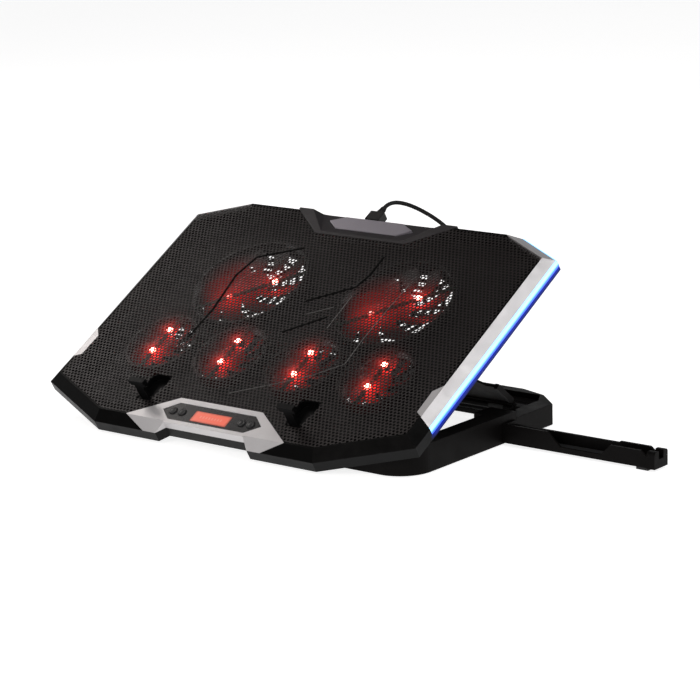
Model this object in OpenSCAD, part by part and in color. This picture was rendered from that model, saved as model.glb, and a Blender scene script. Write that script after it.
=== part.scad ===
// Laptop cooling pad on a folding base, with six fans, a rear prop and a slide-out phone tray.
// Millimetres. Row frame: +X to the user's right, +Y to the rear, +Z up.
// The origin lies on the floor, straight below the middle of the front hinge axis.

/* [Pad] */
// Half width of the flat top, to the crease of the chamfered rim
half_w = 200; // [196:1:202]
// Depth of the chamfered rim below the top plane
rim_drop = 7.5; // [6:0.5:8]
// Total thickness of the pad body
pad_t = 17.5; // [17:0.5:19]
// Thickness of the metal mesh plate
mesh_t = 1.2; // [0.8:0.1:1.4]
// Tilt of the pad above the floor, at rest
tilt = 30; // [20:1:30]

/* [Fans] */
// Distance of each large fan from the centre line
big_x = 84; // [80:1:88]
// Radius of the large fan ring, outside
big_r = 57; // [50:1:57]
// Radius of the small fan ring, outside
small_r = 36; // [30:1:36]
// Number of blades on each rotor
blades = 9; // [7:1:11]

/* [Base] */
// Height of the front hinge axis above the floor
hinge_z = 20; // [19:0.5:22]
// Height of the base rails
base_h = 26; // [24:0.5:26]
// Half width of the base
base_w = 203; // [200:1:206]
// Height of the rear frame round the rack
rear_h = 20; // [18:0.5:20.5]
// Top of the rack's cross bars
rack_z = 15.2; // [13:0.1:15.3]

/* [Phone tray] */
// Outer end of the phone tray arm
tray_x = 351; // [340:1:360]
// Height of the phone tray walls
tray_h = 16.7; // [16:0.1:17]

/* [Hidden] */
hy = 3.6;            // front hinge axis in pad coordinates, along the pad
hn = -24;            // and below its top plane
prop_d = 109.1;      // from the front hinge to the prop hinge
prop_l = 87.7;       // from the prop hinge to the foot bar
prop_a = 38.5;       // slope of the prop at rest
prop_x = 143.5;      // each prop hinge from the centre line
small_y = 63.3;      // small fan row
big_y = 155;         // large fan row
small_xs = [-124, -42, 42, 124];
$fn = 64;

// Pad coordinates: x right, y up the slope, z out of the top plane.
module pad() translate([0, 0, hinge_z]) rotate([tilt, 0, 0]) translate([0, -hy, -hn]) children();
// Prop coordinates: y from the prop hinge to the foot, z on the upper side.
module prop() translate([0, prop_d*cos(tilt), hinge_z + prop_d*sin(tilt)]) rotate([-prop_a, 0, 0]) children();
module both() { children(); mirror([1, 0, 0]) children(); }

function sym(p) = concat(p, [for (i = [len(p)-1:-1:0]) [-p[i][0], p[i][1]]]);
crease_pts = sym([[122.7, -33.7], [half_w, 0], [half_w, 229.3], [148, 253.3], [92, 253.3]]);
outer_pts = sym([[125.3, -43.5], [half_w+10, -6.6], [half_w+10, 235.7], [162.8, 257.5], [92, 257.5]]);
cover_pts = sym([[52, 224.5], [92, 254.5], [92, 262]]);
notch_pts = sym([[46, -35.2], [52.5, -43.5], [52.5, -50]]);

module crease(d = 0) offset(delta = d) polygon(crease_pts);
module slab(z, h) translate([0, 0, z]) linear_extrude(h) children();
module front_notch() slab(-30, 40) polygon(notch_pts);
module keyhole(g = 0) union() {
  translate([-11-g, 3-g]) square([22+2*g, 10+g]);
  translate([-5, 12]) square([10, 7+g]);
  for (x = [-5, 5]) translate([x, 13]) circle(6+g);
  translate([-8.5-g, -14-g]) square([17+2*g, 20+2*g]);
}
// Solid wedge of the chamfered rim, from the top plane down to the parting line
module rim_body() difference() {
  hull() {
    slab(-0.01, 0.01) polygon(crease_pts);
    slab(-rim_drop, 0.01) polygon(outer_pts);
  }
  front_notch();
}
// Side region taken by the silver trims and the light bars, right hand
module side_zone(y0 = 22) slab(-40, 60) polygon([[half_w, y0], [half_w+11, y0-5.5], [half_w+30, y0-5.5], [half_w+30, 300], [154, 300], [149, 252.7], [147, 246], [half_w-1.6, 222]]);
module lug2d() polygon([[half_w+0.01, 22.5], [half_w-7, 27], [half_w-7.5, 52.8], [half_w+0.01, 61.5]]);
module bezel2d() polygon(sym([[47, -4], [90.4, -33.2], [90.4, -60]]));
module prong2d(g = 0) polygon(sym([[47, -4], [90.2+g, -33.1+g], [90.2+g, -33.7], [67+g, -43.5], [52.5, -60]]));

module top_frame() color("#171717") pad() difference() {
  rim_body();
  slab(-mesh_t-0.2, 5) polygon(sym([[122.4, -32], [half_w-1.6, 1.1], [half_w-1.6, 228.2], [147.6, 251.6], [92, 251.6]]));
  slab(-20, 30) polygon(sym([[120.4, -24], [half_w-8, 7], [half_w-8, 223], [145, 244], [92, 244]]));
  both() side_zone();
  both() slab(-mesh_t-0.2, 5) lug2d();
  slab(-20, 30) prong2d(0.2);
  slab(-20, 30) polygon(cover_pts);
}

module mesh_grille() color("#2e2a28") pad() difference() {
  slab(-mesh_t, mesh_t-0.1) polygon(sym([[122.3, -31.8], [half_w-1.8, 1.2], [half_w-1.8, 228.1], [147.5, 251.4], [92, 251.4]]));
  slab(-5, 10) offset(delta = 0.2) bezel2d();
  slab(-5, 10) offset(delta = 0.2) polygon(cover_pts);
  both() slab(-5, 10) offset(delta = 0.2) lug2d();
  both() translate([85.5, 0, 0]) slab(-5, 10) keyhole();
}

// Plan of one fan's air vent: concentric slots between rings, crossed by three bars
module vent2d(r, n) difference() {
  circle(r);
  for (i = [1:n-1]) difference() {
    circle(r*i/n + 1.3);
    circle(r*i/n - 1.3);
  }
  for (a = [0, 60, 120]) rotate(a) square([2*r+4, 2.6], center = true);
  circle(r/n*0.9);
}
module lug(w, r, bore) translate([-w/2, 0, 0]) rotate([90, 0, 90]) difference() {
  union() {
    cylinder(h = w, r = r);
    translate([-r, 0, 0]) cube([2*r, -hn-pad_t+0.3, w]);
  }
  translate([0, 0, -1]) cylinder(h = w+2, r = bore);
}
module shell_inner() polygon(sym([[110, -32.5], [half_w+4, 6], [half_w+4, 230], [155, 252.5], [92, 252.5]]));
module bottom_shell() color("#121212") pad() union() {
  slab(-pad_t, 2) difference() {
    polygon(outer_pts);
    polygon(notch_pts);
    for (x = [-big_x, big_x]) translate([x, big_y]) vent2d(51, 6);
    for (x = small_xs) translate([x, small_y]) vent2d(32, 5);
  }
  difference() {
    slab(-pad_t+2, pad_t-rim_drop-2) difference() {
      polygon(outer_pts);
      shell_inner();
      polygon(notch_pts);
    }
    both() intersection() {
      slab(-14, 10) difference() {
        offset(delta = 5) polygon(outer_pts);
        offset(delta = -3.2) polygon(outer_pts);
      }
      side_zone();
    }
    translate([-10, 255, -11.5]) cube([15.4, 20, 7.4], center = true);
  }
  for (x = [-120, 120]) translate([x, hy, hn]) lug(14, 5, 1.55);
  for (x = [-prop_x, prop_x]) for (s = [-9.5, 9.5]) translate([x+s, hy+prop_d, hn]) lug(5, 3.9, 1.5);
}

module side_trim() pad() {
  intersection() {
    difference() {
      rim_body();
      slab(-20, 30) polygon([[0, 0], [half_w-0.001, 0], [half_w-0.001, 229.3], [147, 253.3], [0, 253.3]]);
    }
    side_zone();
  }
  slab(-mesh_t-0.2, mesh_t+0.2) lug2d();
}
module side_trim_right() color("#c9cacd") side_trim();
module side_trim_left() color("#c9cacd") mirror([1, 0, 0]) side_trim();

module light_bar() pad() intersection() {
  slab(-14, 14-rim_drop) difference() {
    offset(delta = -0.4) polygon(outer_pts);
    offset(delta = -3.2) polygon(outer_pts);
  }
  side_zone();
}
module light_bar_right() color("#3f8cff") light_bar();
module light_bar_left() color("#3f8cff") mirror([1, 0, 0]) light_bar();

panel_pts = sym([[43.5, -31], [56.5, -20.6], [43.5, -10]]);
module front_bezel() color("#b4b0b2") pad() difference() {
  union() {
    intersection() {
      slab(-2, 2) polygon(sym([[90.2, -33.7], [90.2, -33.1], [46.9, -4.2]]));
      slab(-5, 10) bezel2d();
    }
    intersection() {
      difference() {
        rim_body();
        slab(-20, 30) polygon([[-200, -33.7], [200, -33.7], [200, 0], [-200, 0]]);
      }
      slab(-20, 30) polygon(sym([[46, -33.7], [46, -36], [52.5, -43.5], [67, -43.5], [90.2, -33.7]]));
    }
    translate([-46, -35.2, -rim_drop]) cube([92, 1.5, rim_drop]);
  }
  slab(-5, 10) polygon(panel_pts);
}
button_xs = [-44.5, -34, 34, 44.5];
module control_panel() color("#1b1b1c") pad() difference() {
  slab(-3, 2.6) offset(delta = -0.15) polygon(panel_pts);
  translate([-20.4, -28.1, -2]) cube([40.8, 12.5, 5]);
  for (x = button_xs) translate([x, -20.6, -5]) cylinder(h = 10, r = 4.15);
}
module lcd_screen() color("#ff7860") pad() translate([-20.3, -28, -2]) cube([40.6, 12.3, 1.7]);
module control_board() color("#1d4a2c") pad() translate([-56, -29, -8.2]) cube([112, 19, 1.6]);
module button(i) color("#232325") pad() translate([button_xs[i], -20.6, 0]) {
  translate([0, 0, -5.4]) cylinder(h = 5.8, r = 4);
  translate([0, 0, 0.4]) cylinder(h = 0.5, r1 = 4, r2 = 3.2);
}

module rear_cover() color("#423e41") pad() difference() {
  slab(-rim_drop, rim_drop) polygon(sym([[51.9, 224.7], [91.8, 254.6], [91.8, 256.4]]));
  hull() {
    slab(0, 0.4) polygon(sym([[47, 228], [77, 258]]));
    slab(-5.8, 0.1) polygon(sym([[60, 256.5], [66, 258]]));
  }
  slab(-20, 30) offset(delta = 0.3) polygon(sym([[35, 235], [48, 244], [33, 251.5]]));
  translate([-60, 240, -20]) cube([120, 12, 16-3.5]);
}
module badge_plate() color("#5a555b") pad() slab(-4, 3.2) polygon(sym([[35, 235], [48, 244], [33, 251.5]]));

module stopper_pockets() color("#0c0c0c") pad() both() translate([85.5, 0, 0]) difference() {
  slab(-8.5, 8.5-mesh_t-0.1) keyhole(1.4);
  slab(-7.3, 20) keyhole(-0.1);
  translate([-20, -10, -3.6]) rotate([0, 90, 0]) cylinder(h = 40, r = 1.26);
}
// Stands at right angles to the top; folds back to the rear into its pocket
module stopper() color("#101010") pad() translate([85.5, -10, -3.6]) {
  rotate([0, 90, 0]) cylinder(h = 19, r = 1.2, center = true);
  translate([-7.6, -1.9, -1.9]) cube([15.2, 3.8, 4.4]);
  translate([-4.8, -1.6, 0]) cube([9.6, 3.2, 19]);
  translate([-8.6, -1.9, 17.6]) cube([17.2, 4.2, 6.6]);
  translate([-8.6, -3.2, 21.2]) cube([17.2, 3, 3]);
}
module stopper_right() stopper();
module stopper_left() mirror([1, 0, 0]) stopper();

// Axial fan: fixed ring with spokes below, rotor above
module fan_frame(r, hub) {
  difference() {
    slab(-pad_t+2, pad_t-2-5.6) circle(r);
    slab(-pad_t, 30) circle(r-2.2);
  }
  slab(-pad_t+2, 1.2) circle(hub);
  for (a = [15:120:255]) rotate(a) translate([hub-1, -1.6, -pad_t+2]) cube([r-hub-0.6, 3.2, 1.2]);
}
module fan_frames_large() color("#1c1a1a") pad() for (x = [-big_x, big_x]) translate([x, big_y, 0]) fan_frame(big_r, 15);
module fan_frames_small() color("#1c1a1a") pad() for (x = small_xs) translate([x, small_y, 0]) fan_frame(small_r, 11);
module rotor(x, y, r, hub) color("#3a1212") pad() translate([x, y, 0]) difference() {
  union() {
    slab(-13.7, 7.2) circle(hub);
    for (i = [0:blades-1]) rotate(i*360/blades) translate([hub-1, 0, -10.2]) rotate([-asin(min(0.53, 3.2/(r*0.15))), 0, 0]) translate([0, -r*0.15, -0.5]) cube([r-hub-3.2, r*0.3, 1]);
  }
  slab(-20, 12.2) circle(1.55);
}
module rotor_large_left() rotor(-big_x, big_y, big_r, 17);
module rotor_large_right() rotor(big_x, big_y, big_r, 17);
module rotor_small_1() rotor(small_xs[0], small_y, small_r, 12);
module rotor_small_2() rotor(small_xs[1], small_y, small_r, 12);
module rotor_small_3() rotor(small_xs[2], small_y, small_r, 12);
module rotor_small_4() rotor(small_xs[3], small_y, small_r, 12);
module fan_axles() color("#b8b8bc") pad() {
  for (x = [-big_x, big_x]) translate([x, big_y, 0]) slab(-14.3, 6) circle(1.5);
  for (x = small_xs) translate([x, small_y, 0]) slab(-14.3, 6) circle(1.5);
}
// Narrow lamp strips laid across the fans, each with two lamps
led_big = [[-73.5, 144.5], [88.5, 149.5]];
module fan_led_strips() color("#262220") pad() {
  for (x = small_xs) translate([x-2, small_y-small_r+0.2, -5.4]) cube([4, 2*small_r-0.4, 0.9]);
  for (c = led_big) intersection() {
    translate([c[0], c[1], -5.4]) rotate(37.5) translate([-70, -2, 0]) cube([140, 4, 0.9]);
    for (x = [-big_x, big_x]) translate([x, big_y, 0]) slab(-8, 8) circle(big_r-0.3);
  }
}
module fan_leds() color("#ff3020") pad() {
  for (x = small_xs) for (s = [-14, 14]) translate([x, small_y+s, -4.5]) cylinder(h = 1.8, r = 1.7);
  for (c = led_big) for (s = [-22.4, 22.4]) translate([c[0]+s*cos(37.5), c[1]+s*sin(37.5), -4.5]) cylinder(h = 1.8, r = 1.9);
}

module usb_socket() color("#9a9aa0") pad() difference() {
  translate([-10, 250.2, -11.5]) cube([14.6, 14.4, 7.2], center = true);
  translate([-10, 252, -11.5]) cube([12.2, 16, 4.7], center = true);
}
module usb_plug() color("#161616") pad() {
  translate([-10, 251.5, -11.5]) cube([12, 12.6, 4.5], center = true);
  translate([-18, 257.7, -14.2]) cube([16, 11.8, 8.5]);
}
module cable_relief() color("#161616") pad() translate([-10, 269.5, -9.6]) rotate([-90, 0, 0]) {
  cylinder(h = 2.4, r = 3.5);
  for (i = [0:1]) translate([0, 0, 2.4+i*3.2]) cylinder(h = 1.9, r = 3.2-i*0.3);
  cylinder(h = 9, r = 2.4);
}
// USB lead: from the relief, over and down behind the pad to the floor, into a coil
cable_r = 1.95;
coil_c = [-48, 262];
coil_r = 23;
cable_pts = [[-10, 231.15, 170.1], [-9.6, 234.6, 172], [-8.2, 239, 173.4], [-5.2, 243.2, 173.8], [-0.6, 246.8, 173], [5.5, 249.4, 171.3],
  [12.5, 251.4, 168.8], [20.5, 253, 165.4], [29.2, 254.4, 161.2], [38, 255.7, 156], [46, 257, 149.6], [53, 258.5, 141.8], [58.5, 260, 132.3],
  [62.5, 261.5, 121.5], [65, 263, 110], [66.2, 264.6, 98], [66, 266.4, 86], [64.5, 268.5, 74], [61.8, 271, 62.4], [57.8, 273.6, 51.2],
  [52.5, 276.2, 40.6], [46, 278.6, 30.9], [38.2, 280.8, 22.3], [29.4, 282.6, 15], [19.6, 283.8, 9.2], [9, 284.5, 5.1], [-2, 284.8, 2.8],
  [-13.5, 285, 2], [-25, 285, 2], [-36.5, 285, 2], [-48, 285, 2]];
function unit(v) = v/norm(v);
function tangent(p, i) = unit(p[min(i+1, len(p)-1)] - p[max(i-1, 0)]);
module tube(pts, r, n = 8) {
  rings = [for (i = [0:len(pts)-1]) let (t = tangent(pts, i), u = unit(cross(t, [0.3, 0.9, -0.25])), v = cross(t, u))
    for (k = [0:n-1]) pts[i] + r*(cos(360*k/n)*u + sin(360*k/n)*v)];
  m = len(pts);
  polyhedron(rings, concat(
    [[for (k = [0:n-1]) k]], [[for (k = [n-1:-1:0]) (m-1)*n+k]],
    [for (i = [0:m-2]) for (k = [0:n-1]) [i*n+k, (i+1)*n+k, (i+1)*n+(k+1)%n, i*n+(k+1)%n]]));
}
// from the coil to the far plug
tail_pts = [[-46, 239, 5.9], [-38, 238.7, 5.7], [-31, 237.9, 5.2], [-25, 237, 4.5], [-19.1, 236.6, 4.1]];
module usb_cable() color("#141414") {
  tube(cable_pts, cable_r);
  tube(tail_pts, cable_r);
}
module cable_coil() color("#141414") translate([coil_c[0], coil_c[1], 0]) rotate_extrude() translate([coil_r-2.2, 0.05]) square([4.4, 7.9]);
module cable_tie() color("#0e0e0e") translate([coil_c[0]-coil_r, coil_c[1], 0]) difference() {
  translate([-3.7, -2.5, 0]) cube([7.4, 5, 9]);
  translate([-2.6, -3, -1]) cube([5.2, 6, 9.05]);
}
module laptop_plug() color("#161616") translate([coil_c[0]+29, coil_c[1]-coil_r-6.4, 0.1]) {
  cube([22, 8, 7.9]);
  translate([22, 1.2, 1.6]) cube([12, 5.6, 4.5]);
}

// Base: front bar, two rails, the rear frame and its rack, one rigid body
corner_pts = [for (i = [0:16]) [base_w-30+30*cos(i*90/16), 12-30*sin(i*90/16)]];
module base_outline() polygon(concat([[150, 225.5], [178, 216.5], [base_w, 194]], corner_pts,
  [[-158, -18], [-base_w, 14], [-base_w, 194], [-178, 216.5], [-150, 225.5]]));
module front_slope() translate([-300, -18, 13]) rotate([30.6, 0, 0]) translate([0, -40, 0]) cube([600, 66, 40]);
inner_x = base_w-17.5;
ay = 116;            // near face of the phone tray arm
module base_rail() difference() {
  slab(1, base_h-1) intersection() {
    base_outline();
    difference() {
      translate([150, -30]) square([100, 167]);
      translate([100, 15]) square([inner_x-100, 200]);
    }
  }
  front_slope();
}
// The phone tray arm passes through a sleeve in the right rail
module base_rail_right() color("#211f1e") difference() {
  union() {
    base_rail();
    translate([176, ay-4, 1]) cube([inner_x-175, 25, base_h-1]);
  }
  translate([170, ay-0.4, 2.2]) cube([50, 18.8, 17.3]);
}
module base_rail_left() color("#211f1e") difference() {
  slab(1, base_h-1) intersection() {
    base_outline();
    difference() {
      translate([-250, -30]) square([100, 167]);
      translate([-inner_x, 15]) square([inner_x-100, 200]);
    }
  }
  front_slope();
}
module base_front_bar() color("#1a1918") difference() {
  slab(1, base_h-1) translate([-150, -18]) square([300, 33]);
  front_slope();
  for (x = [-120, 120]) translate([x-7.4, -9, 10.5]) cube([14.8, 30, 30]);
  for (x = [-120, 120]) translate([x-16, 0, hinge_z]) rotate([0, 90, 0]) cylinder(h = 32, r = 1.5);
  translate([-96, -12, -1]) cube([192, 22, 7]);
}
module front_hinge_pins() color("#b0b0b4") for (x = [-120, 120]) translate([x-16, 0, hinge_z]) rotate([0, 90, 0]) cylinder(h = 32, r = 1.5);
// Rear frame, lower than the rails, open in the middle
rack_in = sym([[inner_x, 130], [inner_x, 197], [176, 213.5], [150, 214]]);
module rack_deck() color("#1d1b1a") difference() {
  slab(1, rear_h-1) intersection() {
    base_outline();
    translate([-300, 137]) square([600, 100]);
  }
  slab(-1, 40) polygon(rack_in);
}
// Rack of cross bars, raised above the desk, that the prop's foot bar drops into
module rack_ladder() color("#232120") difference() {
  slab(rack_z-4.6, 4.6) intersection() {
    offset(delta = -0.05) polygon(rack_in);
    translate([-250, 156]) square([500, 100]);
  }
  for (y = [159.6:17.5:200]) translate([-(inner_x-10), y, 0]) cube([2*(inner_x-10), 7, 30]);
}
module base_feet() color("#0f0f0f") {
  for (x = [-194, 194]) for (y = [22, 100, 178]) translate([x, y, 0]) cylinder(h = 1, r = 7);
  translate([-30, -15, 0]) cube([60, 27, 1]);
}
module base_screws() color("#77777a") for (x = [-194, 194]) for (y = [60, 195]) translate([x, y, 0.2]) cylinder(h = 0.8, r = 3);
module shell_screws() color("#77777a") pad() for (x = [-175, 0, 175]) for (y = [25, 104, 235]) translate([x, y, -pad_t-0.6]) cylinder(h = 0.6, r = 3);

// Prop: a wide ribbed panel, hinged under the pad, whose foot bar rests in the rack
module prop_panel() color("#191817") prop() difference() {
  union() {
    slab(2.4, 2.2) polygon(sym([[152, 4.7], [156, 36], [172, 51], [184.5, 51], [184.5, 80], [182.5, 86], [182.5, prop_l+2.5]]));
    for (s = [56:10:76]) translate([-180, s, 4.5]) cube([360, 2.6, 1.6]);
    for (x = [-184.5, 180.9]) translate([x, 51, 1.2]) cube([3.6, 29, 4.9]);
    for (x = [-prop_x, prop_x]) translate([x-6.6, 0, 0]) rotate([90, 0, 90]) difference() {
      union() {
        cylinder(h = 13.2, r = 3.6);
        translate([0, 2.2, 0]) cube([8, 1.5, 13.2]);
      }
      translate([0, 0, -1]) cylinder(h = 20, r = 1.55);
    }
    translate([-182, prop_l, 0]) rotate([0, 90, 0]) cylinder(h = 364, r = 3.2);
    translate([-182, prop_l-6, 1]) cube([364, 6, 3]);
  }
  for (x = [-110, -55, 0, 55, 110]) translate([x-20, 14, 0]) cube([40, 26, 10]);
}
module prop_foot_pads() color("#0d0d0d") prop() for (x = [-165, 165]) translate([x-8, prop_l, 0]) rotate([0, 90, 0]) difference() {
  cylinder(h = 16, r = 3.6);
  translate([0, 0, -1]) cylinder(h = 18, r = 3.2);
  translate([-10, -10, -1]) cube([10, 20, 18]);
}
module prop_hinge_pins() color("#b0b0b4") pad() for (x = [-prop_x, prop_x]) translate([x-12, hy+prop_d, hn]) rotate([0, 90, 0]) cylinder(h = 24, r = 1.5);

// Phone tray: a channel arm that slides out through the right rail
tz = 2.5;
module tray_arm() color("#171615") difference() {
  translate([180, ay, tz]) cube([tray_x-180, 18, tray_h]);
  translate([206, ay+2.5, tz+2.6]) cube([200, 12.5, 40]);
  translate([0, ay-6, 0]) rotate([90, 0, 0]) mirror([0, 0, 1]) linear_extrude(10)
    polygon([[250, 40], [250, tz+tray_h], [263.3, 7.3], [304.4, 7.3], [314, 16.8], [314, 40]]);
  translate([206, ay+12, tz+tray_h-3.4]) cube([108, 10, 10]);
  translate([0, ay-6, 0]) rotate([90, 0, 0]) mirror([0, 0, 1]) linear_extrude(40)
    polygon([[313, 40], [313, 17], [344, 17], [352, 10.5], [380, 10.5], [380, 40]]);
}
module tray_end_tab() color("#141312") translate([tray_x, ay-1.4, 0]) rotate([90, 0, 90]) linear_extrude(8) difference() {
  union() {
    translate([0, tz]) square([20.5, tray_h-5]);
    translate([3, tz+tray_h-5]) circle(3);
    translate([17.5, tz+tray_h-5]) circle(3);
    translate([3, tz+tray_h-5]) square([14.5, 3]);
  }
  translate([6.5, tz+tray_h-9]) square([7.5, 20]);
}
module tray_foot() color("#101010") translate([tray_x-12, ay+1, 0]) cube([12, 16, tz]);
module tray_grip_pad() color("#0a0a0a") translate([222, ay+3.2, tz+2.6]) cube([100, 11.1, 1]);

module button_1() button(0);
module button_2() button(1);
module button_3() button(2);
module button_4() button(3);

base_front_bar();
base_rail_left();
base_rail_right();
rack_deck();
rack_ladder();
base_feet();
base_screws();
front_hinge_pins();
top_frame();
mesh_grille();
bottom_shell();
side_trim_left();
side_trim_right();
light_bar_left();
light_bar_right();
front_bezel();
control_panel();
lcd_screen();
rear_cover();
badge_plate();
stopper_pockets();
control_board();
fan_frames_large();
fan_frames_small();
fan_led_strips();
fan_leds();
rotor_large_left();
rotor_large_right();
rotor_small_1();
rotor_small_2();
rotor_small_3();
rotor_small_4();
fan_axles();
button_1();
button_2();
button_3();
button_4();
stopper_left();
stopper_right();
prop_panel();
prop_foot_pads();
prop_hinge_pins();
usb_socket();
usb_plug();
cable_relief();
usb_cable();
cable_coil();
cable_tie();
laptop_plug();
shell_screws();
tray_arm();
tray_end_tab();
tray_foot();
tray_grip_pad();
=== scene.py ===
import math
import bmesh
import bpy
import numpy as np
from mathutils import Matrix, Vector


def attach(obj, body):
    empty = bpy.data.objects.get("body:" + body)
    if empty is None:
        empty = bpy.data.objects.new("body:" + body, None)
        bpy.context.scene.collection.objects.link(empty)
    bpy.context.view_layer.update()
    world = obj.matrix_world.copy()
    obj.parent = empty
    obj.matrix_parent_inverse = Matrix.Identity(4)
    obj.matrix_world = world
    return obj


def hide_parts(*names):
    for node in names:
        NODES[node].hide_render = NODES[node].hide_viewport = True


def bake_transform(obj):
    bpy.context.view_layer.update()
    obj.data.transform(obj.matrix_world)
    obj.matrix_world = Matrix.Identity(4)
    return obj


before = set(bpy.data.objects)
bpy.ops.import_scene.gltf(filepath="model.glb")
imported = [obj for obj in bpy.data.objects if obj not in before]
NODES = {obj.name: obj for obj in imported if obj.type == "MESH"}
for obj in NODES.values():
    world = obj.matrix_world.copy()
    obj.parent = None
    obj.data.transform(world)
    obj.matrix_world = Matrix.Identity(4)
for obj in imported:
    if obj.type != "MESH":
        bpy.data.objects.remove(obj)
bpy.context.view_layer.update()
scene = bpy.context.scene

# ------------------------------------------------------------------ frames
TILT = math.radians(30.0)
HZ, HY, HN = 0.020, 0.0036, -0.024
PROP_D, PROP_A = 0.100, math.radians(34.0)
PAD = Matrix.Translation((0, 0, HZ)) @ Matrix.Rotation(TILT, 4, "X") @ Matrix.Translation((0, -HY, -HN))
MM = Matrix.Diagonal((0.001, 0.001, 0.001, 1.0))
PADMM = PAD @ MM


def padp(x, y, n):
    return PADMM @ Vector((x, y, n))


# ------------------------------------------------------------------ camera
cam_data = bpy.data.cameras.new("camera")
cam = bpy.data.objects.new("camera", cam_data)
scene.collection.objects.link(cam)
R = np.array([[0.7843, 0.5244, -0.3315], [0.1254, -0.6573, -0.7432], [-0.6076, 0.5413, -0.5812]])
u, _, vt = np.linalg.svd(R)
R = u @ vt
t = np.array([-109.5, 45.2, 2398.4]) / 1000.0
A = np.array(PAD.to_3x3())
o = np.array(PAD.translation)
Rg = R @ A.T
tg = t - Rg @ o
loc = -Rg.T @ tg
m = Matrix.Identity(4)
for r in range(3):
    m[r][0], m[r][1], m[r][2], m[r][3] = Rg[0][r], -Rg[1][r], -Rg[2][r], loc[r]
cam.matrix_world = m
cam_data.sensor_width = 36.0
cam_data.sensor_fit = "HORIZONTAL"
cam_data.lens = 36.0 * 2750.0 / 700.0
cam_data.clip_start = 0.1
cam_data.clip_end = 50.0
scene.camera = cam


# ------------------------------------------------------------------ materials
def mat(name):
    mt = bpy.data.materials.new(name)
    mt.use_nodes = True
    nt = mt.node_tree
    nt.nodes.clear()
    out = nt.nodes.new("ShaderNodeOutputMaterial")
    b = nt.nodes.new("ShaderNodeBsdfPrincipled")
    nt.links.new(b.outputs[0], out.inputs[0])
    return mt, nt, b


def noise(nt, scale, detail=4.0, rough=0.6, vec=None, dist=0.0):
    n = nt.nodes.new("ShaderNodeTexNoise")
    n.inputs["Scale"].default_value = scale
    n.inputs["Detail"].default_value = detail
    n.inputs["Roughness"].default_value = rough
    n.inputs["Distortion"].default_value = dist
    if vec is not None:
        nt.links.new(vec, n.inputs["Vector"])
    return n


def coords(nt):
    tc = nt.nodes.new("ShaderNodeTexCoord")
    return tc.outputs["Object"]


def ramp(nt, fac, stops):
    r = nt.nodes.new("ShaderNodeValToRGB")
    el = r.color_ramp.elements
    while len(el) < len(stops):
        el.new(0.5)
    for e, (p, c) in zip(el, stops):
        e.position = p
        e.color = (c[0], c[1], c[2], 1.0) if len(c) == 3 else c
    nt.links.new(fac, r.inputs[0])
    return r.outputs[0]


def maprange(nt, v, a, b, c, d):
    n = nt.nodes.new("ShaderNodeMapRange")
    n.inputs["From Min"].default_value = a
    n.inputs["From Max"].default_value = b
    n.inputs["To Min"].default_value = c
    n.inputs["To Max"].default_value = d
    nt.links.new(v, n.inputs["Value"])
    return n.outputs[0]


def math_node(nt, op, a, b=None, clamp=False):
    n = nt.nodes.new("ShaderNodeMath")
    n.operation = op
    n.use_clamp = clamp
    for i, v in enumerate((a, b)):
        if v is None:
            continue
        if isinstance(v, (int, float)):
            n.inputs[i].default_value = v
        else:
            nt.links.new(v, n.inputs[i])
    return n.outputs[0]


def edge_wear(nt, radius=0.0006):
    """0 on flats, towards 1 along sharp edges."""
    g = nt.nodes.new("ShaderNodeNewGeometry")
    bv = nt.nodes.new("ShaderNodeBevel")
    bv.samples = 4
    bv.inputs["Radius"].default_value = radius
    d = nt.nodes.new("ShaderNodeVectorMath")
    d.operation = "DOT_PRODUCT"
    nt.links.new(g.outputs["Normal"], d.inputs[0])
    nt.links.new(bv.outputs[0], d.inputs[1])
    return maprange(nt, d.outputs["Value"], 0.999, 0.90, 0.0, 1.0)


def bump(nt, b, h, strength, distance=0.0002):
    n = nt.nodes.new("ShaderNodeBump")
    n.inputs["Strength"].default_value = strength
    n.inputs["Distance"].default_value = distance
    nt.links.new(h, n.inputs["Height"])
    nt.links.new(n.outputs[0], b.inputs["Normal"])


def plastic(name, base, rough=0.45, grain=900.0, grain_strength=0.25, vary=0.25, spec=0.5, wear=0.0, wear_col=(0.10, 0.095, 0.09), coat=0.0):
    """Moulded plastic with a fine spark-eroded grain, slight colour drift and lighter rubbed edges."""
    mt, nt, b = mat(name)
    co = coords(nt)
    big = noise(nt, 22.0, 3.0, 0.55, co)
    fine = noise(nt, grain, 2.0, 0.6, co)
    c0 = tuple(x * (1 - vary) for x in base)
    c1 = tuple(x * (1 + vary) for x in base)
    col = ramp(nt, big.outputs["Fac"], [(0.3, c0), (0.7, c1)])
    if wear > 0:
        w = edge_wear(nt)
        wn = math_node(nt, "MULTIPLY", w, maprange(nt, noise(nt, 160.0, 4.0, 0.7, co).outputs["Fac"], 0.42, 0.66, 0.0, wear))
        mx = nt.nodes.new("ShaderNodeMix")
        mx.data_type = "RGBA"
        nt.links.new(wn, mx.inputs[0])
        nt.links.new(col, mx.inputs[6])
        mx.inputs[7].default_value = (*wear_col, 1)
        col = mx.outputs[2]
    nt.links.new(col, b.inputs["Base Color"])
    rg = maprange(nt, noise(nt, 60.0, 4.0, 0.6, co).outputs["Fac"], 0.3, 0.7, rough - 0.06, rough + 0.07)
    nt.links.new(rg, b.inputs["Roughness"])
    b.inputs["Specular IOR Level"].default_value = spec
    b.inputs["Coat Weight"].default_value = coat
    b.inputs["Coat Roughness"].default_value = 0.12
    bump(nt, b, fine.outputs["Fac"], grain_strength, 0.00012)
    return mt


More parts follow.
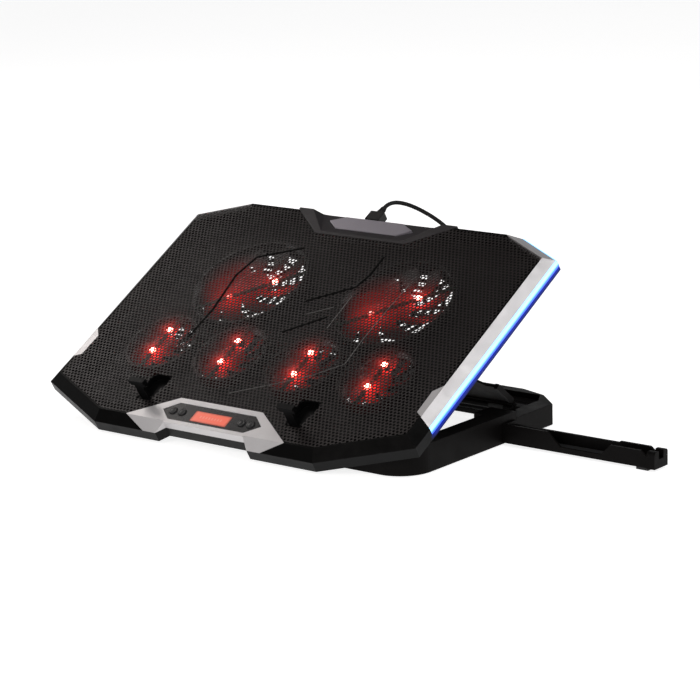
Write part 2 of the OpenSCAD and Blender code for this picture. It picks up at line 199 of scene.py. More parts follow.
def metal_paint(name, base, rough=0.3, flake=2600.0, metallic=0.6, vary=0.08, spec=0.5, coat=0.15, streak=None):
    """Metallic silver paint: tiny flakes, orange-peel bump, slightly patchy roughness."""
    mt, nt, b = mat(name)
    co = coords(nt)
    fl = noise(nt, flake, 2.0, 0.7, co)
    big = noise(nt, 14.0, 3.0, 0.55, co)
    mixv = math_node(nt, "ADD", math_node(nt, "MULTIPLY", fl.outputs["Fac"], 0.55), math_node(nt, "MULTIPLY", big.outputs["Fac"], 0.45))
    c0 = tuple(x * (1 - vary) for x in base)
    c1 = tuple(min(1, x * (1 + vary)) for x in base)
    nt.links.new(ramp(nt, mixv, [(0.35, c0), (0.65, c1)]), b.inputs["Base Color"])
    b.inputs["Metallic"].default_value = metallic
    nt.links.new(maprange(nt, noise(nt, 90.0, 5.0, 0.65, co).outputs["Fac"], 0.3, 0.7, rough - 0.05, rough + 0.08), b.inputs["Roughness"])
    b.inputs["Specular IOR Level"].default_value = spec
    b.inputs["Coat Weight"].default_value = coat
    b.inputs["Coat Roughness"].default_value = 0.2
    bump(nt, b, fl.outputs["Fac"], 0.06, 0.00008)
    return mt


def glow(name, base, emit, strength, rough=0.3):
    mt, nt, b = mat(name)
    co = coords(nt)
    n = noise(nt, 40.0, 3.0, 0.5, co)
    nt.links.new(ramp(nt, n.outputs["Fac"], [(0.3, tuple(x * 0.9 for x in base)), (0.7, base)]), b.inputs["Base Color"])
    b.inputs["Roughness"].default_value = rough
    b.inputs["Emission Color"].default_value = (*emit, 1)
    b.inputs["Emission Strength"].default_value = strength
    return mt, nt, b


def rubber(name, base=(0.012, 0.012, 0.012), rough=0.7):
    return plastic(name, base, rough, 1400.0, 0.35, 0.2, 0.35)


M = {}
M["base"] = plastic("base_plastic", (0.0036, 0.0031, 0.0030), 0.46, 1100.0, 0.22, 0.2, 0.045, wear=0.3, wear_col=(0.05, 0.046, 0.043))
M["base_dark"] = plastic("base_dark_plastic", (0.004, 0.0036, 0.0034), 0.5, 1100.0, 0.22, 0.2, 0.12)
M["shell"] = plastic("shell_plastic", (0.0022, 0.0022, 0.0023), 0.42, 1000.0, 0.16, 0.18, 0.05, wear=0.3, wear_col=(0.06, 0.06, 0.06))
M["rim"] = plastic("rim_plastic", (0.0016, 0.0015, 0.0015), 0.42, 1200.0, 0.14, 0.15, 0.03, wear=0.2, wear_col=(0.07, 0.068, 0.066))
M["silver"] = metal_paint("silver_paint", (0.47, 0.455, 0.46), 0.33, 2600.0, 0.30)
M["cover"] = plastic("cover_plastic", (0.026, 0.023, 0.0245), 0.42, 1100.0, 0.16, 0.12, 0.2, wear=0.3, wear_col=(0.14, 0.13, 0.13))
M["badge"] = metal_paint("badge_plate", (0.25, 0.23, 0.26), 0.32, 1800.0, 0.35, 0.10)
M["panel"] = plastic("panel_gloss", (0.006, 0.006, 0.0065), 0.26, 600.0, 0.04, 0.12, 0.15, coat=0.05)
M["button"] = plastic("button_plastic", (0.011, 0.011, 0.0115), 0.34, 900.0, 0.10, 0.15, 0.25)
M["fan"] = plastic("fan_plastic", (0.004, 0.0035, 0.0035), 0.4, 800.0, 0.12, 0.2, 0.15)
M["pcb"] = plastic("circuit_board", (0.010, 0.030, 0.016), 0.35, 500.0, 0.1, 0.3, 0.5)
M["rubber"] = rubber("rubber")
M["cable"] = plastic("cable_rubber", (0.007, 0.0068, 0.0068), 0.5, 900.0, 0.2, 0.15, 0.2)
M["plug"] = plastic("plug_rubber", (0.009, 0.0085, 0.0085), 0.45, 1000.0, 0.2, 0.15, 0.2)


def steel(name, base=(0.42, 0.42, 0.43), rough=0.32):
    mt, nt, b = mat(name)
    co = coords(nt)
    mp = nt.nodes.new("ShaderNodeMapping")
    mp.inputs["Scale"].default_value = (1.0, 1.0, 18.0)
    nt.links.new(co, mp.inputs["Vector"])
    n = noise(nt, 220.0, 5.0, 0.6, mp.outputs[0])
    nt.links.new(ramp(nt, n.outputs["Fac"], [(0.3, tuple(x * 0.85 for x in base)), (0.7, base)]), b.inputs["Base Color"])
    b.inputs["Metallic"].default_value = 1.0
    nt.links.new(maprange(nt, n.outputs["Fac"], 0.3, 0.7, rough - 0.06, rough + 0.08), b.inputs["Roughness"])
    bump(nt, b, n.outputs["Fac"], 0.08, 0.00005)
    return mt


M["steel"] = steel("steel")

LOOK = {
    "base": ["base_front_bar", "base_rail_left", "base_rail_right", "rack_deck", "rack_ladder", "prop_panel", "tray_arm", "tray_end_tab"],
    "shell": ["bottom_shell", "stopper_pockets", "stopper_left", "stopper_right"],
    "rim": ["top_frame"],
    "silver": ["side_trim_left", "side_trim_right", "front_bezel"],
    "cover": ["rear_cover"],
    "badge": ["badge_plate"],
    "panel": ["control_panel"],
    "button": ["button_1", "button_2", "button_3", "button_4"],
    "fan": ["fan_frames_large", "fan_frames_small"],
    "pcb": ["control_board", "fan_led_strips"],
    "rubber": ["base_feet", "prop_foot_pads", "tray_foot", "tray_grip_pad", "cable_tie"],
    "plug": ["usb_plug", "cable_relief", "laptop_plug"],
    "steel": ["base_screws", "shell_screws", "front_hinge_pins", "prop_hinge_pins", "fan_axles", "usb_socket"],
}


def set_mat(ob, mt):
    ob.data.materials.clear()
    ob.data.materials.append(mt)
    for p in ob.data.polygons:
        p.material_index = 0


for key, names in LOOK.items():
    for n in names:
        set_mat(NODES[n], M[key])


def soften(name, width, segments=2, angle=32):
    """Welds a CAD node's split corners and rounds its sharp edges a little."""
    if name not in NODES:
        return
    ob = NODES[name]
    w = ob.modifiers.new("weld", "WELD")
    w.merge_threshold = 1e-6
    b = ob.modifiers.new("bevel", "BEVEL")
    b.width = width
    b.segments = segments
    b.limit_method = "ANGLE"
    b.angle_limit = math.radians(angle)
    b.harden_normals = False
    b.use_clamp_overlap = True
    for p in ob.data.polygons:
        p.use_smooth = False


# ------------------------------------------------------------------ mesh helpers
def obj_from(name, verts, faces, mt, smooth=False):
    me = bpy.data.meshes.new(name)
    me.from_pydata([tuple(v) for v in verts], [], faces)
    me.validate()
    ob = bpy.data.objects.new(name, me)
    scene.collection.objects.link(ob)
    me.materials.append(mt)
    if smooth:
        for p in me.polygons:
            p.use_smooth = True
    return ob


def obj_bm(name, bm, mt, smooth=False):
    me = bpy.data.meshes.new(name)
    bm.to_mesh(me)
    bm.free()
    ob = bpy.data.objects.new(name, me)
    scene.collection.objects.link(ob)
    me.materials.append(mt)
    if smooth:
        for p in me.polygons:
            p.use_smooth = True
    return ob


def apply_modifiers(ob):
    bpy.context.view_layer.update()
    dg = bpy.context.evaluated_depsgraph_get()
    me = bpy.data.meshes.new_from_object(ob.evaluated_get(dg))
    ob.modifiers.clear()
    old = ob.data
    ob.data = me
    bpy.data.meshes.remove(old)


def inside(poly, x, y):
    """numpy test: which points lie in the polygon."""
    res = np.zeros(len(x), bool)
    n = len(poly)
    for i in range(n):
        x1, y1 = poly[i]
        x2, y2 = poly[(i + 1) % n]
        cond = (y1 > y) != (y2 > y)
        with np.errstate(divide="ignore", invalid="ignore"):
            xi = (x2 - x1) * (y - y1) / (y2 - y1) + x1
        res ^= cond & (x < xi)
    return res


def sym(p):
    return p + [(-a, b) for a, b in reversed(p)]


# ------------------------------------------------------------------ perforated mesh plate
PITCH = 3.93
ROW = PITCH * math.sqrt(3) / 2
HOLE_R = 1.5
OUT = sym([(122.3, -31.8), (198.2, 1.2), (198.2, 228.1), (147.5, 251.4), (92, 251.4)])
CUTS = [
    sym([(47.2, -3.8), (90.7, -33.3), (90.7, -60)]),
    sym([(51.8, 224.2), (92.3, 254.6), (92.3, 275)]),
]
LUG = [(203, 21.0), (200.2, 22.3), (192.8, 26.9), (192.3, 52.9), (200.0, 61.7), (203, 65)]
CUTS.append(LUG)
CUTS.append([(-a, b) for a, b in LUG])
for s in (-1, 1):
    c = 85.5 * s
    CUTS.append([(c - 11, 3), (c + 11, 3), (c + 11, 19), (c - 11, 19)])
    CUTS.append([(c - 8.5, -14), (c + 8.5, -14), (c + 8.5, 6), (c - 8.5, 6)])


def plate():
    rr = PITCH / math.sqrt(3)
    cells = []
    j0, j1 = int(-40 / ROW), int(262 / ROW)
    for j in range(j0, j1 + 1):
        for i in range(-54, 55):
            cells.append(((i + 0.5 * (j % 2)) * PITCH, 107 + (j - 31) * ROW))
    cells = np.array(cells)
    grown = sym([(123.5, -36), (203, 0), (203, 231), (149, 256), (92, 256)])
    keep = inside(grown, cells[:, 0], cells[:, 1])
    for cut in CUTS:
        cx, cy = np.mean(cut, axis=0)
        small = [(cx + (a - cx) * 0.72, cy + (b - cy) * 0.72) for a, b in cut]
        keep &= ~inside(small, cells[:, 0], cells[:, 1])
    cells = cells[keep]
    n = len(cells)
    ang_b = np.radians([90, 30, 0, -30, -90, -150, 180, 150])
    rad_b = np.array([rr, rr, PITCH / 2, rr, rr, rr, PITCH / 2, rr])
    ang_h = np.radians([90, 45, 0, -45, -90, -135, 180, 135])
    B = cells[:, None, :] + np.stack([rad_b * np.cos(ang_b), rad_b * np.sin(ang_b)], 1)[None]
    H = cells[:, None, :] + HOLE_R * np.stack([np.cos(ang_h), np.sin(ang_h)], 1)[None]
    flat = B.reshape(-1, 2)
    key = np.round(flat * 200).astype(np.int64)
    uniq, first, inv = np.unique(key, axis=0, return_index=True, return_inverse=True)
    inv = inv.reshape(-1)
    verts = np.concatenate([flat[first], H.reshape(-1, 2)])
    nb = len(first)
    bi = inv.reshape(n, 8)
    hi = nb + np.arange(n * 8).reshape(n, 8)
    faces = np.stack([bi, np.roll(bi, -1, 1), np.roll(hi, -1, 1), hi], 2).reshape(-1, 4)
    faces = faces[:, ::-1]
    me = bpy.data.meshes.new("grille_tmp")
    me.from_pydata(np.c_[verts, np.full(len(verts), -0.1)].tolist(), [], faces.tolist())
    bm = bmesh.new()
    bm.from_mesh(me)
    bpy.data.meshes.remove(me)
    # the outline is convex, so each of its sides cuts the whole plate
    for k in range(len(OUT)):
        a, b = Vector((*OUT[k], 0)), Vector((*OUT[(k + 1) % len(OUT)], 0))
        d = b - a
        if d.length < 1e-6:
            continue
        nrm = Vector((d.y, -d.x, 0)).normalized()
        if nrm.dot(Vector((0, 110, 0)) - a) > 0:
            nrm = -nrm
        geom = bm.verts[:] + bm.edges[:] + bm.faces[:]
        bmesh.ops.bisect_plane(bm, geom=geom, dist=1e-4, plane_co=a, plane_no=nrm, clear_outer=True)
    for cut in CUTS:
        xs, ys = [p[0] for p in cut], [p[1] for p in cut]
        x0, x1, y0, y1 = min(xs) - 5, max(xs) + 5, min(ys) - 5, max(ys) + 5
        for k in range(len(cut)):
            a, b = Vector((*cut[k], 0)), Vector((*cut[(k + 1) % len(cut)], 0))
            d = b - a
            if d.length < 1e-6:
                continue
            nrm = Vector((d.y, -d.x, 0)).normalized()
            fs = [f for f in bm.faces if x0 < f.verts[0].co.x < x1 and y0 < f.verts[0].co.y < y1]
            es = {e for f in fs for e in f.edges}
            vs = {v for f in fs for v in f.verts}
            bmesh.ops.bisect_plane(bm, geom=list(vs) + list(es) + fs, dist=1e-4, plane_co=a, plane_no=nrm)
        fs = [f for f in bm.faces if x0 < f.verts[0].co.x < x1 and y0 < f.verts[0].co.y < y1]
        cen = np.array([f.calc_center_median()[:2] for f in fs]).reshape(-1, 2)
        ins = inside(cut, cen[:, 0], cen[:, 1])
        bmesh.ops.delete(bm, geom=[f for f, q in zip(fs, ins) if q], context="FACES")
    bmesh.ops.dissolve_degenerate(bm, dist=1e-4, edges=bm.edges[:])
    ret = bmesh.ops.extrude_face_region(bm, geom=bm.faces[:], use_keep_orig=True)
    up = [g for g in ret["geom"] if isinstance(g, bmesh.types.BMVert)]
    # the originals stay as the underside
    for v in bm.verts:
        v.co.z = -0.62
    for v in up:
        v.co.z = -0.1
    bmesh.ops.recalc_face_normals(bm, faces=bm.faces[:])
    bmesh.ops.transform(bm, matrix=PADMM, verts=bm.verts[:])
    return bm


BIG = [(-84.0, 155.0), (84.0, 155.0)]
SMALL = [(-124.0, 63.3), (-42.0, 63.3), (42.0, 63.3), (124.0, 63.3)]
LAMPS = []
for x, y in SMALL:
    for s in (-14, 14):
        LAMPS.append((x, y + s, -3.6, 1.0))
for cx, cy in ((-73.5, 144.5), (88.5, 149.5)):
    for s in (-22.4, 22.4):
        LAMPS.append((cx + s * math.cos(math.radians(37.5)), cy + s * math.sin(math.radians(37.5)), -3.6, 1.0))
LAMP_POS = [padp(x, y, n) for x, y, n, _ in LAMPS]


disc_pos = [padp(-96.0, 150.0, -9.0), padp(72.0, 150.0, -9.0)]
DIM = [padp(-73.5 - 17.8, 144.5 - 13.6, -3.6), padp(88.5 - 17.8, 149.5 - 13.6, -3.6)]


def painted_red_glow(nt, near=0.0065, wide=0.019):
    """Painted red glow, not light cast by the lamps: emission that falls off around each lamp, in the row frame."""
    co = coords(nt)
    tot = None
    for p in LAMP_POS:
        d = nt.nodes.new("ShaderNodeVectorMath")
        d.operation = "DISTANCE"
        nt.links.new(co, d.inputs[0])
        d.inputs[1].default_value = p
        q = math_node(nt, "DIVIDE", d.outputs["Value"], wide)
        q2 = math_node(nt, "MULTIPLY", q, q)
        e = math_node(nt, "POWER", 2.718, math_node(nt, "MULTIPLY", q2, -1.0))
        q = math_node(nt, "DIVIDE", d.outputs["Value"], near)
        q2 = math_node(nt, "MULTIPLY", q, q)
        e2 = math_node(nt, "POWER", 2.718, math_node(nt, "MULTIPLY", q2, -1.0))
        weak = any((Vector(p) - Vector(q)).length < 0.003 for q in DIM)
        e = math_node(nt, "ADD", e, math_node(nt, "MULTIPLY", e2, 1.2 if weak else 7.0))
        tot = e if tot is None else math_node(nt, "ADD", tot, e)
    # the two large fans get a painted glow over a wider disc, on the side of their lower lamp
    for p in disc_pos:
        d = nt.nodes.new("ShaderNodeVectorMath")
        d.operation = "DISTANCE"
        nt.links.new(co, d.inputs[0])
        d.inputs[1].default_value = p
        tot = math_node(nt, "ADD", tot, maprange(nt, d.outputs["Value"], 0.022, 0.038, 0.42, 0.0))
    return tot


def grille_mat():
    mt, nt, b = mat("grille_metal")
    co = coords(nt)
    big = noise(nt, 9.0, 3.0, 0.6, co)
    fine = noise(nt, 1500.0, 2.0, 0.6, co)
    col = ramp(nt, big.outputs["Fac"], [(0.3, (0.0195, 0.0168, 0.0166)), (0.7, (0.0275, 0.0240, 0.0236))])
    nt.links.new(col, b.inputs["Base Color"])
    b.inputs["Metallic"].default_value = 0.15
    b.inputs["Specular IOR Level"].default_value = 0.12
    nt.links.new(maprange(nt, noise(nt, 120.0, 4.0, 0.6, co).outputs["Fac"], 0.3, 0.7, 0.36, 0.5), b.inputs["Roughness"])
    bump(nt, b, fine.outputs["Fac"], 0.15, 0.0001)
    # painted red glow on the mesh around the lamps: emission standing in for their light
    b.inputs["Emission Color"].default_value = (1.0, 0.03, 0.02, 1)
    nt.links.new(math_node(nt, "MULTIPLY", painted_red_glow(nt, 0.0052, 0.013), 0.075), b.inputs["Emission Strength"])
    return mt


M["grille"] = grille_mat()
grille = obj_bm("mesh_grille_perforated", plate(), M["grille"])
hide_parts("mesh_grille")
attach(grille, "pad")


# pressed styling lines of the mesh, as low ridges; their near-black and light colours are painted shade and painted
# highlight along the creases
def ridge(name, lines, width, height, mt):
    bm = bmesh.new()
    for line in lines:
        pts = [Vector((x, y, 0)) for x, y in line]
        rows = []
        for i, p in enumerate(pts):
            d0 = (pts[i] - pts[i - 1]).normalized() if i > 0 else (pts[1] - pts[0]).normalized()
            d1 = (pts[i + 1] - pts[i]).normalized() if i < len(pts) - 1 else d0
            d = (d0 + d1).normalized()
            nrm = Vector((-d.y, d.x, 0))
            k = 1.0 / max(0.5, nrm.dot(Vector((-d1.y, d1.x, 0))))
            w = width / 2 * k
            rows.append([
                bm.verts.new(p + nrm * w + Vector((0, 0, -0.35))),
                bm.verts.new(p + nrm * w * 0.75 + Vector((0, 0, height * 0.55))),
                bm.verts.new(p + Vector((0, 0, height))),
                bm.verts.new(p - nrm * w * 0.75 + Vector((0, 0, height * 0.55))),
                bm.verts.new(p - nrm * w + Vector((0, 0, -0.35))),
            ])
        for r0, r1 in zip(rows, rows[1:]):
            for k in range(5):
                bm.faces.new((r0[k], r1[k], r1[(k + 1) % 5], r0[(k + 1) % 5]))
        bm.faces.new(rows[0][::-1])
        bm.faces.new(rows[-1])
    bmesh.ops.recalc_face_normals(bm, faces=bm.faces[:])
    bmesh.ops.transform(bm, matrix=PADMM, verts=bm.verts[:])
    ob = obj_bm(name, bm, mt)
    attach(ob, "pad")
    return ob


DARK = [[(-49.9, 202.5), (-92.4, 182.5), (-98.6, 155.4), (-92.3, 108.1), (-93.6, 68.8)], [(42.0, 204.5), (42.6, 179.3), (38.3, 161.9), (-1.4, 135.5)], [(33.5, 119.7), (0.2, 93.2)]]
LIGHT = [[(90.3, 173.6), (88.4, 140.5), (87.3, 100.0), (89.1, 67.3), (66.4, 48.4), (35.0, 30.4), (-2.7, 11.0)], [(41.6, 150.0), (42.6, 106.4)], [(32.4, 133.2), (9.6, 119.5)]]
# painted shade (near-black) and painted highlight (light metal) on the pressed line ridges
M["line_dark"] = plastic("grille_line_painted_shade", (0.0012, 0.0011, 0.0011), 0.7, 900.0, 0.1, 0.2, 0.04)
M["line_light"] = metal_paint("grille_line_painted_highlight", (0.12, 0.115, 0.112), 0.35, 1800.0, 0.3)
ridge("grille_lines_painted_shade", DARK, 2.9, 0.12, M["line_dark"])
ridge("grille_lines_painted_highlight", LIGHT, 0.75, 0.2, M["line_light"])

# ------------------------------------------------------------------ lamps and the painted red glow around them
def lit_plastic(name, base, strength, rough=0.3, wide=0.019, near=0.0065):
    mt, nt, b = mat(name)
    co = coords(nt)
    n = noise(nt, 60.0, 3.0, 0.6, co)
    nt.links.new(ramp(nt, n.outputs["Fac"], [(0.3, tuple(x * 0.8 for x in base)), (0.7, tuple(x * 1.2 for x in base))]), b.inputs["Base Color"])
    nt.links.new(maprange(nt, n.outputs["Fac"], 0.3, 0.7, rough - 0.05, rough + 0.08), b.inputs["Roughness"])
    # painted red glow: emission by distance to the lamps, standing in for their light on the rotors and fan frames
    f = painted_red_glow(nt, near, wide)
    b.inputs["Emission Color"].default_value = (1.0, 0.022, 0.016, 1)
    nt.links.new(math_node(nt, "MULTIPLY", f, strength), b.inputs["Emission Strength"])
    return mt


M["rotor_small"] = lit_plastic("rotor_plastic", (0.012, 0.003, 0.004), 0.42, 0.3, 0.0150, 0.0065)
M["rotor_large"] = lit_plastic("rotor_plastic_large", (0.012, 0.003, 0.004), 0.40, 0.3, 0.0175, 0.0075)
M["fan"] = lit_plastic("fan_frame_plastic", (0.004, 0.003, 0.003), 0.12, wide=0.014)
for n in ("fan_frames_large", "fan_frames_small"):
    set_mat(NODES[n], M["fan"])


def rotor(name, node, cx, cy, r, hub, blades=9, phase=0.0):
    """Hub with a rounded cap and curved, twisted blades with real thickness."""
    bm = bmesh.new()
    seg = 40
    prof = [(hub * 0.55, -13.6), (hub, -13.6), (hub, -8.2), (hub - 0.5, -7.2), (hub - 1.6, -6.62), (hub * 0.6, -6.55), (hub * 0.56, -6.95), (hub * 0.2, -6.95)]
    rings = [[bm.verts.new((pr * math.cos(2 * math.pi * k / seg), pr * math.sin(2 * math.pi * k / seg), pz)) for k in range(seg)] for pr, pz in prof]
    for a, b in zip(rings, rings[1:]):
        for k in range(seg):
            bm.faces.new((a[k], a[(k + 1) % seg], b[(k + 1) % seg], b[k]))
    bm.faces.new(rings[0][::-1])
    bm.faces.new(rings[-1])
    rt = r - 3.6
    nr, nc = 9, 7
    for bi in range(blades):
        base = 2 * math.pi * bi / blades + phase
        top, bot = [], []
        for i in range(nr):
            f = i / (nr - 1)
            rad = hub - 0.8 + (rt - hub + 0.8) * f
            sweep = 0.62 * f ** 1.3
            half = (0.235 + 0.05 * math.sin(math.pi * f)) * (1.0 if f < 0.86 else 1.0 - 0.9 * (f - 0.86) / 0.14 * 0.45)
            zamp = 3.0 - 0.7 * f
            row_t, row_b = [], []
            for j in range(nc):
                c = j / (nc - 1) * 2 - 1
                a = base + sweep + half * c
                z = -10.1 - zamp * c - 0.55 * (1 - c * c)
                th = 0.55 * (1 - 0.55 * c * c)
                row_t.append(bm.verts.new((rad * math.cos(a), rad * math.sin(a), z + th)))
                row_b.append(bm.verts.new((rad * math.cos(a), rad * math.sin(a), z - th)))
            top.append(row_t)
            bot.append(row_b)
        for i in range(nr - 1):
            for j in range(nc - 1):
                bm.faces.new((top[i][j], top[i + 1][j], top[i + 1][j + 1], top[i][j + 1]))
                bm.faces.new((bot[i][j], bot[i][j + 1], bot[i + 1][j + 1], bot[i + 1][j]))
            bm.faces.new((top[i][0], bot[i][0], bot[i + 1][0], top[i + 1][0]))
            bm.faces.new((top[i][-1], top[i + 1][-1], bot[i + 1][-1], bot[i][-1]))
        for j in range(nc - 1):
            bm.faces.new((top[0][j], top[0][j + 1], bot[0][j + 1], bot[0][j]))
            bm.faces.new((top[-1][j], bot[-1][j], bot[-1][j + 1], top[-1][j + 1]))
    bmesh.ops.recalc_face_normals(bm, faces=bm.faces[:])
    bmesh.ops.transform(bm, matrix=PADMM @ Matrix.Translation((cx, cy, 0)), verts=bm.verts[:])
    ob = obj_bm(name, bm, M["rotor_large" if r > 50 else "rotor_small"], smooth=False)
    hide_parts(node)
    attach(ob, node)
    return ob


rotor("rotor_large_left_blades", "rotor_large_left", *BIG[0], 57, 17, 9, 0.3)
rotor("rotor_large_right_blades", "rotor_large_right", *BIG[1], 57, 17, 9, 0.75)
for k, (x, y) in enumerate(SMALL):
    rotor(f"rotor_small_{k + 1}_blades", f"rotor_small_{k + 1}", x, y, 36, 12, 9, 0.4 * k)


def lamps():
    bm = bmesh.new()
    for x, y, n, _ in LAMPS:
        seg = 20
        prof = [(3.1, -4.5), (3.1, -3.7), (2.75, -3.1), (2.0, -2.75), (1.0, -2.6)]
        rings = [[bm.verts.new((x + pr * math.cos(2 * math.pi * k / seg), y + pr * math.sin(2 * math.pi * k / seg), pz)) for k in range(seg)] for pr, pz in prof]
        for a, b in zip(rings, rings[1:]):
            for k in range(seg):
                bm.faces.new((a[k], a[(k + 1) % seg], b[(k + 1) % seg], b[k]))
        bm.faces.new(rings[0][::-1])
        bm.faces.new(rings[-1])
    bmesh.ops.recalc_face_normals(bm, faces=bm.faces[:])
    bmesh.ops.transform(bm, matrix=PADMM, verts=bm.verts[:])
    mt, nt, b = mat("led_red")
    co = coords(nt)
    tot = None
    for p in LAMP_POS:
        d = nt.nodes.new("ShaderNodeVectorMath")
        d.operation = "DISTANCE"
        nt.links.new(co, d.inputs[0])
        d.inputs[1].default_value = p
        tot = d.outputs["Value"] if tot is None else math_node(nt, "MINIMUM", tot, d.outputs["Value"])
    f = maprange(nt, tot, 0.0008, 0.0033, 0.0, 1.0)
    nt.links.new(ramp(nt, f, [(0.0, (1.0, 0.66, 0.60)), (0.5, (1.0, 0.24, 0.19)), (1.0, (1.0, 0.03, 0.02))]), b.inputs["Emission Color"])
    nt.links.new(ramp(nt, f, [(0.0, (1.0, 0.3, 0.25)), (1.0, (0.5, 0.01, 0.01))]), b.inputs["Base Color"])
    dim = None
    for p in DIM:
        d = nt.nodes.new("ShaderNodeVectorMath")
        d.operation = "DISTANCE"
        nt.links.new(co, d.inputs[0])
        d.inputs[1].default_value = p
        dim = d.outputs["Value"] if dim is None else math_node(nt, "MINIMUM", dim, d.outputs["Value"])
    nt.links.new(maprange(nt, dim, 0.004, 0.0055, 1.6, 30.0), b.inputs["Emission Strength"])
    b.inputs["Roughness"].default_value = 0.25
    ob = obj_bm("fan_lamps", bm, mt, smooth=True)
    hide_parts("fan_leds")
    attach(ob, "pad")


lamps()

# ------------------------------------------------------------------ light bars and the blue glow painted below them
def padcoords(nt):
    """Pad coordinates (x, along, out of plane) in metres, from the row-frame position at rest."""
    co = coords(nt)
    inv = PAD.inverted()
    mp = nt.nodes.new("ShaderNodeMapping")
    mp.vector_type = "POINT"
    mp.inputs["Location"].default_value = inv.translation
    mp.inputs["Rotation"].default_value = inv.to_euler()
    nt.links.new(co, mp.inputs["Vector"])
    sp = nt.nodes.new("ShaderNodeSeparateXYZ")
    nt.links.new(mp.outputs[0], sp.inputs[0])
    return sp.outputs


def bar_mat():
    mt, nt, b = mat("light_guide")
    p = padcoords(nt)
    f = maprange(nt, p[2], -0.0142, -0.0062, 0.0, 1.0)
    stops = [(0.0, (0.0, 0.006, 0.35)), (0.22, (0.0, 0.05, 0.85)), (0.42, (0.05, 0.34, 1.0)), (0.58, (0.30, 0.66, 1.0)), (0.82, (0.34, 0.70, 1.0)), (0.95, (0.20, 0.56, 1.0)), (1.0, (0.18, 0.52, 1.0))]
    nt.links.new(ramp(nt, f, stops), b.inputs["Emission Color"])
    n = noise(nt, 30.0, 3.0, 0.5, coords(nt))
    st = math_node(nt, "MULTIPLY", maprange(nt, f, 0.2, 0.6, 1.1, 1.7), maprange(nt, n.outputs["Fac"], 0.3, 0.7, 0.9, 1.1))
    nt.links.new(st, b.inputs["Emission Strength"])
    nt.links.new(ramp(nt, f, [(0.0, (0.02, 0.05, 0.3)), (1.0, (0.3, 0.5, 0.8))]), b.inputs["Base Color"])
    b.inputs["Roughness"].default_value = 0.3
    return mt


M["bar"] = bar_mat()
def light_bar(side):
    """Clear guide: outer face, rounded lower edge and a thin lip lapped over the trim's outer edge."""
    outer = [(210.0, 16.9), (210.0, 235.7), (162.8, 257.5), (154.5, 257.5)]
    crease = [(200.0, 22.2), (200.0, 229.3), (148.0, 253.3), (140.0, 253.3)]
    bm = bmesh.new()
    rows = []
    for (ox, oy), (cx, cy) in zip(outer, crease):
        def at(f, dn=0.0):
            return Vector((ox + (cx - ox) * f, oy + (cy - oy) * f, -7.5 + 7.5 * f + dn))
        base = at(0)
        inn = Vector((ox + (cx - ox) * 0.28, oy + (cy - oy) * 0.28, 0))
        lip = [at(0.11, 0.02), at(0.095, 0.42), at(0.04, 0.40)] if side > 0 else [at(0.03, -0.35), at(0.02, -0.33), at(0.01, -0.31)]
        sec = lip + [Vector((ox, oy, -7.6)), Vector((ox, oy, -13.2)), Vector((ox + (cx - ox) * 0.06, oy + (cy - oy) * 0.06, -13.95)), Vector((inn.x, inn.y, -13.95)), Vector((inn.x, inn.y, -7.55))]
        rows.append([bm.verts.new((side * v.x, v.y, v.z)) for v in sec])
    for a, b in zip(rows, rows[1:]):
        for k in range(len(a)):
            bm.faces.new((a[k], a[(k + 1) % len(a)], b[(k + 1) % len(a)], b[k]))
    bm.faces.new(rows[0][::-1])
    bm.faces.new(rows[-1])
    bmesh.ops.recalc_face_normals(bm, faces=bm.faces[:])
    bmesh.ops.transform(bm, matrix=PADMM, verts=bm.verts[:])
    nm = "right" if side > 0 else "left"
    ob = obj_bm(f"light_guide_{nm}", bm, M["bar"])
    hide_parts(f"light_bar_{nm}")
    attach(ob, "pad")


light_bar(1)
light_bar(-1)


def shell_mat():
    """Black lower shell with a painted deep-blue glow just below the light bars, emission standing in for their light.
    """
    mt = plastic("shell_plastic_painted_glow", (0.0035, 0.0035, 0.0037), 0.42, 1000.0, 0.16, 0.18, 0.12)
    nt = mt.node_tree
    b = next(n for n in nt.nodes if n.type == "BSDF_PRINCIPLED")
    p = padcoords(nt)
    ax = math_node(nt, "ABSOLUTE", p[0])
    side = maprange(nt, ax, 0.2065, 0.2095, 0.0, 1.0)
    # the painted glow covers the rear diagonal as well: distance outward from that edge
    diag = math_node(nt, "ADD", math_node(nt, "MULTIPLY", ax, 0.419), math_node(nt, "MULTIPLY", p[1], 0.908))
    dside = maprange(nt, diag, 0.2995, 0.3010, 0.0, 1.0)
    m1 = math_node(nt, "MAXIMUM", side, dside)
    down = maprange(nt, p[2], -0.0178, -0.0138, 0.12, 1.0)
    front = maprange(nt, p[1], 0.014, 0.022, 0.0, 1.0)
    back = maprange(nt, p[2], -0.0138, -0.0132, 1.0, 0.0)
    e = math_node(nt, "MULTIPLY", math_node(nt, "MULTIPLY", m1, down), math_node(nt, "MULTIPLY", front, back))
    # painted blue glow: emission on the shell in place of light from the bars
    b.inputs["Emission Color"].default_value = (0.0, 0.035, 0.75, 1)
    nt.links.new(math_node(nt, "MULTIPLY", e, 0.55), b.inputs["Emission Strength"])
    return mt


M["shell_lit"] = shell_mat()
set_mat(NODES["bottom_shell"], M["shell_lit"])


